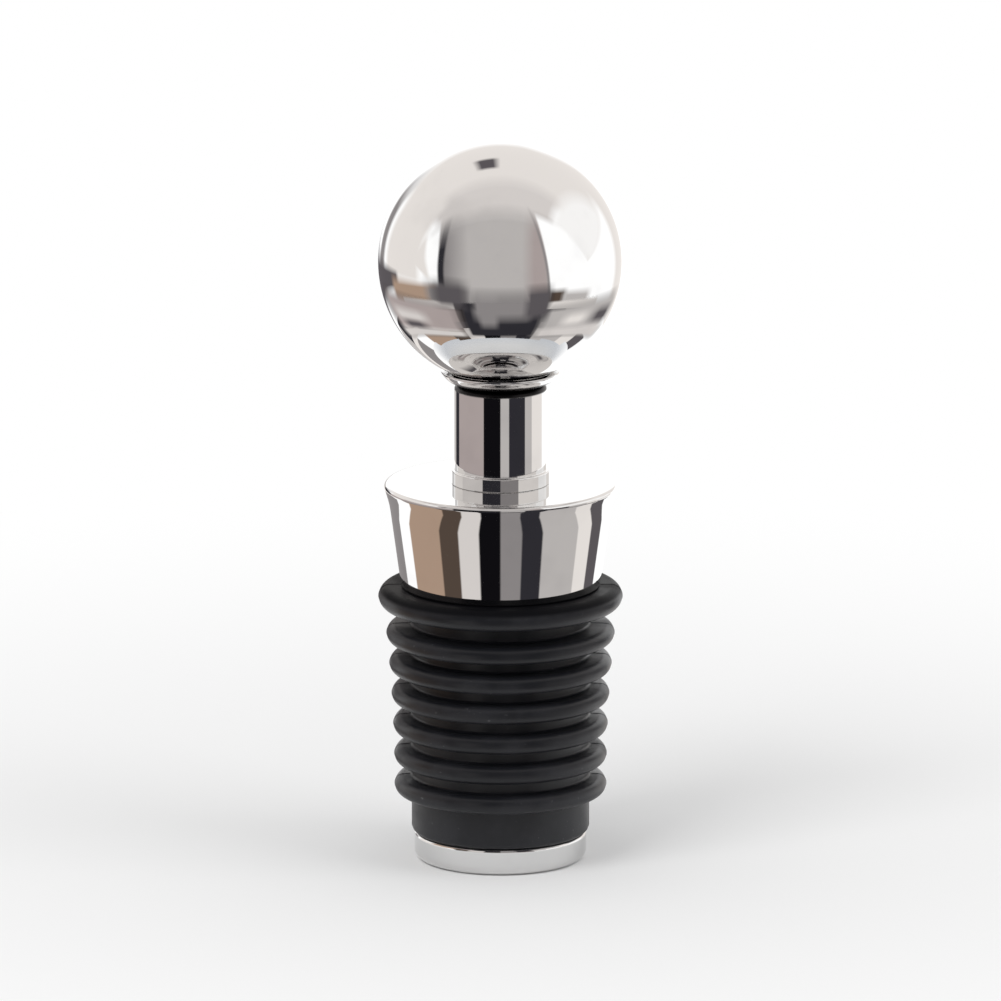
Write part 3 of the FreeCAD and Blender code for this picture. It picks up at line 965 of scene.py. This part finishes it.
@dataclass
class TieStud(Piece):
    """The threaded stud inside, which clamps the stack together."""

    node: str = "tie_stud"
    slot: Slot = Slot.STEEL
    columns: int = 48
    pitch: float = 0.7 * MM
    depth: float = 0.38 * MM
    rows_per_pitch: int = 8
    bevel: float = 0.5 * MM

    def mesh(self) -> Mesh:
        """A rod with a right-hand thread.

        At the height h and the angle a the thread's phase is u = h / pitch - a / (2 pi). The
        radius is the outer one less depth * clamp(0.5 + 0.75 * cos(2 pi u)), which leaves a
        crest, two flanks and a root, and never more than the bevel leaves at that height.
        """
        length = self.top - self.foot
        rows = round(length / self.pitch * self.rows_per_pitch) + 1
        angles = even_angles(self.columns)[None, :]
        heights = np.linspace(0, length, rows)[:, None]
        wave = 0.5 + 0.75 * np.cos(FULL_TURN * heights / self.pitch - angles)
        threaded = self.radius - self.depth * np.clip(wave, 0, 1)
        to_end = np.minimum(heights, length - heights)
        bevelled = self.radius - self.bevel + to_end
        radii = np.minimum(threaded, bevelled)
        level = heights + self.foot + 0 * angles
        ring = np.stack((radii * np.cos(angles), radii * np.sin(angles), level), axis=-1)
        grid = np.arange(rows * self.columns).reshape(rows, self.columns)
        grid = np.hstack((grid, grid[:, :1]))
        vertices = np.vstack((ring.reshape(-1, 3), [(0, 0, self.foot), (0, 0, self.top)]))
        faces = quads(grid) + fans(grid, len(vertices) - 2, len(vertices) - 1)
        mesh = new_mesh(self.node, vertices, faces)
        mesh.shade_smooth()
        return mesh


# The studio


@dataclass(frozen=True)
class Card:
    """A softbox, card or wall that the metal sees, as a rectangle across and along.

    Both are in degrees far away. On the screen near the ball's foot along is a height in mm. The
    sides fade over side_edge and the ends over end_edge. A bow moves the middle across.
    """

    left: float
    right: float
    bottom: float
    top: float
    colour: Colour
    side_edge: float = 2.0
    end_edge: float = 2.0
    bow: float = 0.0


# The studio's palette
WHITE = (1.0, 1.0, 1.0)
BRIGHT = tone(244, 243, 242)
CREAM = tone(225, 220, 216)
PALE = tone(208, 203, 200)
SILVER = tone(190, 194, 200)
STONE = tone(180, 176, 174)
ROSE = tone(166, 155, 153)
TAN = tone(166, 142, 124)
GREY = tone(135, 131, 131)
SLATE = tone(88, 84, 87)
UMBER = tone(80, 68, 60)
CHARCOAL = tone(45, 44, 49)
BLACK = tone(15, 14, 17)

# Across: the angle to the right of the plane through the camera and the axis. Along: the turn in
# that plane from the camera, up over the top at 90 and on to 180 behind. Each lies over the last.
CARDS_OVERHEAD = {
    "ceiling": Card(-90, 90, 85, 158, CREAM, 10, 12),
    "bright side of the ceiling": Card(46, 90, 60, 160, BRIGHT, 12, 12),
    "ceiling lamp": Card(-13, -2, 112, 127, SLATE, 4, 4),
    "top of the wall": Card(-56, 44, 48, 95, PALE, 8, 16),
    "wall behind the camera": Card(-64, 46, -66, 60, STONE, 3, 18),
    "its shaded left": Card(-66, -42, -66, 58, GREY, 24, 30),
    "its shaded right": Card(26, 48, -62, 56, ROSE, 12, 24),
    "left softbox": Card(-70, -53, -28, 66, WHITE, 2.5, 20, -7.3),
    "cream beside it": Card(-110, -68, -28, 70, CREAM, 5, 12, -7.3),
    "right softbox": Card(30, 62, -78, 62, WHITE, 2, 8, 16),
    "its frame": Card(28.2, 30.6, -78, 56, GREY, 2, 30, 16),
    "stand of the left softbox": Card(-54.4, -47.8, -40, 50, CHARCOAL, 2.5, 40, -7.3),
}

# Across: the azimuth, from the camera towards its right. Along: the elevation.
CARDS_AROUND = {
    "cream screen": Card(-136, -84, -14, 48, CREAM, 8, 8),
    "edge of the screen": Card(-158, -143, -22, 14, GREY, 6, 18),
    "screen on the right": Card(138, 164, -30, 50, CREAM, 8, 20),
    "shelf behind": Card(-182, -115, -18.5, -10.5, SLATE, 5, 3),
    "brown shelf": Card(-125, -62, -36, -14, TAN, 6, 5),
    "grey case": Card(-76, -30, -30, -14, GREY, 10, 7),
    "brown case": Card(48, 66, -40, -17, UMBER, 6, 5),
    "light case": Card(64, 96, -31, -19, STONE, 8, 5),
    "table": Card(-182, 182, -76, -52, SILVER, 4, 10),
    "pale floor below": Card(-182, 182, -130, -74, PALE, 4, 6),
}


def azimuth_of(wiring: Wiring, parts: Sequence[NodeSocket]) -> NodeSocket:
    """The azimuth atan2(x, -y) of a direction or place (x, y, z), in degrees."""
    front = wiring.math("MULTIPLY", parts[1], -1.0)
    return wiring.math("DEGREES", wiring.math("ARCTAN2", parts[0], front))


@dataclass(frozen=True)
class Screen:
    """An upright curved screen close round the stopper, which shows in its metal alone.

    It stands on a circle, from its first azimuth to its last in degrees, and from its low to its
    high height.
    """

    name: str
    first: float
    last: float
    low: float
    high: float
    columns: int = 180
    radius: ClassVar[float] = 30 * MM

    def build(self, effects: Effects, gain: float) -> None:
        """Makes the screen: (r sin a, -r cos a, h) at each azimuth a, with its low and high h.

        Args:
            effects: the shared node groups.
            gain: how much brighter the screen is than it looks in the metal.
        """
        azimuths = np.radians(np.linspace(self.first, self.last, self.columns + 1))
        heights = np.array([[self.low], [self.high]])
        across = self.radius * np.sin(azimuths) + 0 * heights
        deep = -self.radius * np.cos(azimuths) + 0 * heights
        vertices = np.stack((across, deep, heights + 0 * azimuths), axis=-1).reshape(-1, 3)
        grid = np.arange(2 * len(azimuths)).reshape(2, -1)
        mesh = new_mesh(self.name, vertices, quads(grid[:, ::-1]))
        mesh.materials.append(self.material(effects, gain))
        screen = new_object(self.name, mesh)
        screen.visible_camera = False
        screen.visible_diffuse = False
        screen.visible_shadow = False
        screen.visible_transmission = False

    def material(self, effects: Effects, gain: float) -> Material:
        """Plain light where the screen has a colour, and nothing elsewhere.

        Args:
            effects: the shared node groups.
            gain: how much brighter the screen is than it looks in the metal.

        Returns:
            The material.
        """
        material, wiring, place = new_material(self.name)
        material.cycles.emission_sampling = "NONE"
        parts = wiring.parts(place)
        colour, cover = self.face(effects, wiring, azimuth_of(wiring, parts), parts[2])
        glow = wiring.add("ShaderNodeEmission", {"Color": colour, "Strength": gain})
        clear = wiring.add("ShaderNodeBsdfTransparent")
        wiring.surface(wiring.mix_shaders(cover, clear, glow))
        return material

    def face(self, effects: Effects, wiring: Wiring, azimuth: object, height: object) -> tuple:
        """The screen's colour, and where it is there at all."""
        raise NotImplementedError


@dataclass(frozen=True)
class StripedScreen(Screen):
    """A screen of upright stripes. Each starts at its azimuth; the screen's top fades out."""

    stripes: tuple[tuple[float, Colour], ...] = ()
    fade: float = 0.001 * MM
    edge: float = 1.6

    def face(self, effects: Effects, wiring: Wiring, azimuth: object, height: object) -> tuple:
        """The stripes side by side, and the fading top."""
        colour = BLACK
        for start, stripe in self.stripes:
            colour = wiring.group(effects.stripe, {
                "Under": colour, "Stripe": stripe, "Across": azimuth, "Start": start,
                "Edge": self.edge,
            }).outputs[0]
        return colour, wiring.rescale(height, self.high - self.fade, self.high, 1, 0)


@dataclass(frozen=True)
class NearScreen(Screen):
    """A screen right in front of the ball's foot, as cards in degrees across and mm along."""

    cards: tuple[Card, ...] = ()
    radius: ClassVar[float] = 13 * MM

    def face(self, effects: Effects, wiring: Wiring, azimuth: object, height: object) -> tuple:
        """The cards over each other, and nothing outside of them."""
        along = wiring.math("DIVIDE", height, MM)
        colour, cover = BLACK, 0.0
        for card in self.cards:
            laid = effects.place_card(wiring, card, colour, azimuth, along)
            colour = laid.outputs["Colour"]
            cover = wiring.math("MAXIMUM", laid.outputs["Share"], cover)
        return colour, cover


# Broad strips of card round each part of the metal, on a plan of 20 degree steps
FLANGE_STRIPES = (
    (-180, GREY), (-120, WHITE), (-100, TAN), (-60, UMBER), (-40, PALE), (-20, BLACK),
    (0, GREY), (20, CHARCOAL), (40, STONE), (80, CREAM), (100, SLATE), (120, WHITE),
)
COLLAR_STRIPES = ((-180, CREAM), (-100, GREY), (-40, CHARCOAL), (40, GREY), (100, WHITE))
STEM_STRIPES = (
    (-180, STONE), (-140, CHARCOAL), (-120, ROSE), (-40, BLACK), (0, STONE), (20, CHARCOAL),
    (60, STONE), (80, CREAM), (120, WHITE),
)
MIRRORED_STRIPES = ((-180, PALE), (-40, CHARCOAL), (0, GREY), (40, CREAM))
FOOT_CARDS = (
    Card(-100, -26, 43, 49.6, ROSE, 14, 1.8),
    Card(26, 100, 43, 49.2, STONE, 14, 1.8),
    Card(-104, -25, 41.2, 43.9, PALE, 12, 1.6),
    Card(26, 106, 41.2, 44.4, PALE, 12, 1.6),
    Card(-90, -55, 45.5, 47.5, PALE, 12, 1.6),
    Card(-85, -60, 43.8, 45.4, SLATE, 12, 1.2),
    Card(45, 65, 45.2, 47.4, CREAM, 10, 1.6),
    Card(75, 100, 45, 47.5, SLATE, 12, 1.6),
    Card(-23, 25, 42, 49.6, CHARCOAL, 3, 1.2),
    Card(-16, 19, 47.4, 51.4, GREY, 5, 2.4),
    Card(-40, -20, 49.4, 52.8, SLATE, 8, 1.8),
    Card(15, 30, 47.6, 52.2, SLATE, 5, 1.6),
    Card(-13, -2, 45.6, 51, GREY, 4, 2.4),
)
SCREENS = (
    *(
        StripedScreen(f"{name}_screen", first, last, low * MM, high * MM, stripes=stripes)
        for name, first, last, low, high, stripes in (
            ("low_flange", -58, 56, 5, 9, FLANGE_STRIPES),
            ("flange", -98, 96, 9, 22.6, FLANGE_STRIPES),
            ("left_flange", -180, -98, 14.6, 25.4, FLANGE_STRIPES),
            ("right_flange", 96, 180, 14.6, 25.4, FLANGE_STRIPES),
            ("collar", -98, 96, 22.6, 28.8, COLLAR_STRIPES),
            ("left_collar", -180, -98, 25.4, 28.8, COLLAR_STRIPES),
            ("right_collar", 96, 180, 25.4, 28.8, COLLAR_STRIPES),
            ("stem", -95, 95, 28.8, 37.5, STEM_STRIPES),
            ("left_stem", -180, -95, 28.8, 36, STEM_STRIPES),
            ("right_stem", 95, 180, 28.8, 36, STEM_STRIPES),
        )
    ),
    StripedScreen(
        "mirrored_screen", -95, 95, 37.5 * MM, 42 * MM, stripes=MIRRORED_STRIPES, fade=1.5 * MM
    ),
    NearScreen("foot_screen", -110, 110, 40.4 * MM, 55 * MM, cards=FOOT_CARDS),
)


@dataclass(frozen=True)
class Lamp:
    """A square area lamp that faces the stopper."""

    name: str
    place: tuple[float, float, float]
    side: float
    power: float


@dataclass
class Studio:
    """The pale floor, the soft light, what the metal reflects, and the camera."""

    floor_reach: float = 0.7
    floor_colour: Colour = (0.88, 0.88, 0.88)
    floor_roughness: float = 0.7
    floor_fade: tuple[float, float] = (0.025, 0.14)
    floor_seen_in_metal: tuple[float, float] = (0.020, 0.040)
    dome_level: float = 0.72
    metal_gain: float = 1.4
    camera_elevation: float = 13.0
    camera_distance: float = 1.43
    lens: float = 592.0
    sensor: float = 36.0
    lamps: tuple[Lamp, ...] = (
        Lamp("key", (-0.40, -0.50, 0.70), 0.45, 2.7),
        Lamp("fill", (0.55, -0.25, 0.55), 0.45, 1.1),
    )

    def build(self, effects: Effects) -> None:
        """Makes the whole studio."""
        self.make_floor()
        self.make_world(effects)
        for screen in SCREENS:
            screen.build(effects, self.metal_gain)
        self.make_lamps()
        self.make_camera()

    def make_floor(self) -> None:
        """A flat square floor, level with the stopper's foot."""
        sides = np.array([(-1, -1), (1, -1), (1, 1), (-1, 1)]) * self.floor_reach
        vertices = np.hstack((sides, np.zeros((4, 1))))
        mesh = new_mesh("studio_floor", vertices, [(0, 1, 2, 3)])
        mesh.materials.append(self.floor_material())
        floor = new_object("studio_floor", mesh)

    def floor_material(self) -> Material:
        """Pale card that turns to plain white far from the stopper, for the camera alone.

        Metal sees only the floor near the stopper, and the studio below the horizon further out.
        From below the floor can't be seen, so that the stopper shows in views from there.

        Returns:
            The material.
        """
        material, wiring, place = new_material("pale floor")
        path = wiring.add("ShaderNodeLightPath")
        distance = wiring.add("ShaderNodeVectorMath", {0: place}, operation="LENGTH").outputs[1]
        far = wiring.rescale(distance, *self.floor_fade, 0, 1)
        seen_far = wiring.math("MULTIPLY", far, path.outputs["Is Camera Ray"])
        card = wiring.add("ShaderNodeBsdfPrincipled", {
            "Base Color": self.floor_colour, "Roughness": self.floor_roughness,
            "Specular IOR Level": 0.0,
        })
        white = wiring.add("ShaderNodeEmission", {"Color": WHITE, "Strength": 1.0})
        lit = wiring.mix_shaders(seen_far, card, white)
        away = wiring.rescale(distance, *self.floor_seen_in_metal, 0, 1)
        unseen = wiring.math("MULTIPLY", away, path.outputs["Is Glossy Ray"])
        back = wiring.add("ShaderNodeNewGeometry").outputs["Backfacing"]
        gone = wiring.math("MAXIMUM", unseen, back)
        clear = wiring.add("ShaderNodeBsdfTransparent")
        wiring.surface(wiring.mix_shaders(gone, lit, clear))
        return material

    def make_world(self, effects: Effects) -> None:
        """White for the camera, the studio's cards for metal, and an even dome for other light.

        For a direction (x, y, z) the cards around have atan2(x, -y) across and asin(z) along, and
        those overhead asin(x) across and atan2(z, -y) along.
        """
        world = bpy.data.worlds.new("studio")
        bpy.context.scene.world = world
        world.use_nodes = True
        world.node_tree.nodes.clear()
        wiring = Wiring(world.node_tree)
        way = wiring.add("ShaderNodeTexCoord").outputs["Generated"]
        parts = wiring.parts(way)
        front = wiring.math("MULTIPLY", parts[1], -1.0)
        sideways = wiring.math("DEGREES", wiring.math("ARCSINE", parts[0]))
        turn = wiring.math("DEGREES", wiring.math("ARCTAN2", parts[2], front))
        elevation = wiring.math("DEGREES", wiring.math("ARCSINE", parts[2]))
        studio = WHITE
        for cards, across, along in (
            (CARDS_OVERHEAD, sideways, turn), (CARDS_AROUND, azimuth_of(wiring, parts), elevation),
        ):
            for name, card in cards.items():
                node = effects.place_card(wiring, card, studio, across, along)
                node.label = name
                studio = node.outputs[0]
        gained = wiring.add(
            "ShaderNodeVectorMath", {0: studio, 3: self.metal_gain}, operation="SCALE"
        )
        path = wiring.add("ShaderNodeLightPath")
        mirrored = wiring.math(
            "MAXIMUM", path.outputs["Is Glossy Ray"], path.outputs["Is Transmission Ray"]
        )
        level = self.dome_level
        around = wiring.mix(mirrored, (level, level, level), gained.outputs[0])
        seen = wiring.mix(path.outputs["Is Camera Ray"], around, WHITE)
        background = wiring.add("ShaderNodeBackground", {"Color": seen, "Strength": 1.0})
        wiring.add("ShaderNodeOutputWorld", {"Surface": background.outputs[0]})

    def make_lamps(self) -> None:
        """Soft area lamps that metal and the camera don't see."""
        middle = (CAD_BOX[0] + CAD_BOX[1]) / 2
        for lamp in self.lamps:
            data = bpy.data.lights.new(lamp.name, "AREA")
            data.shape = "SQUARE"
            data.size = lamp.side
            data.energy = lamp.power
            light = new_object(lamp.name, data)
            light.location = lamp.place
            aim = middle - Vector(lamp.place)
            light.rotation_euler = aim.to_track_quat("-Z", "Y").to_euler()
            light.visible_camera = False
            light.visible_glossy = False

    def make_camera(self) -> None:
        """A long lens at the photograph's angle, aimed at half the stopper's height."""
        data = bpy.data.cameras.new("camera")
        data.lens = self.lens
        data.sensor_width = self.sensor
        camera = new_object("camera", data)
        elevation = math.radians(self.camera_elevation)
        back = Vector((0, -math.cos(elevation), math.sin(elevation)))
        target = (CAD_BOX[0] + CAD_BOX[1]) / 2
        camera.location = target + back * self.camera_distance
        camera.rotation_euler = back.to_track_quat("Z", "Y").to_euler()
        bpy.context.scene.camera = camera


def main() -> None:
    """Builds the studio, then each piece from the foot up."""
    logging.basicConfig(level=logging.INFO)
    scene = bpy.context.scene
    scene.view_settings.view_transform = "Standard"
    effects = Effects()
    Studio().build(effects)
    finishes = Finishes(effects)
    for piece in (EndCap(), TieStud(), RibbedPlug(), TaperedFlange(), NeckStem(), BallKnob()):
        piece.build(finishes)


if __name__ == "__main__":
    main()
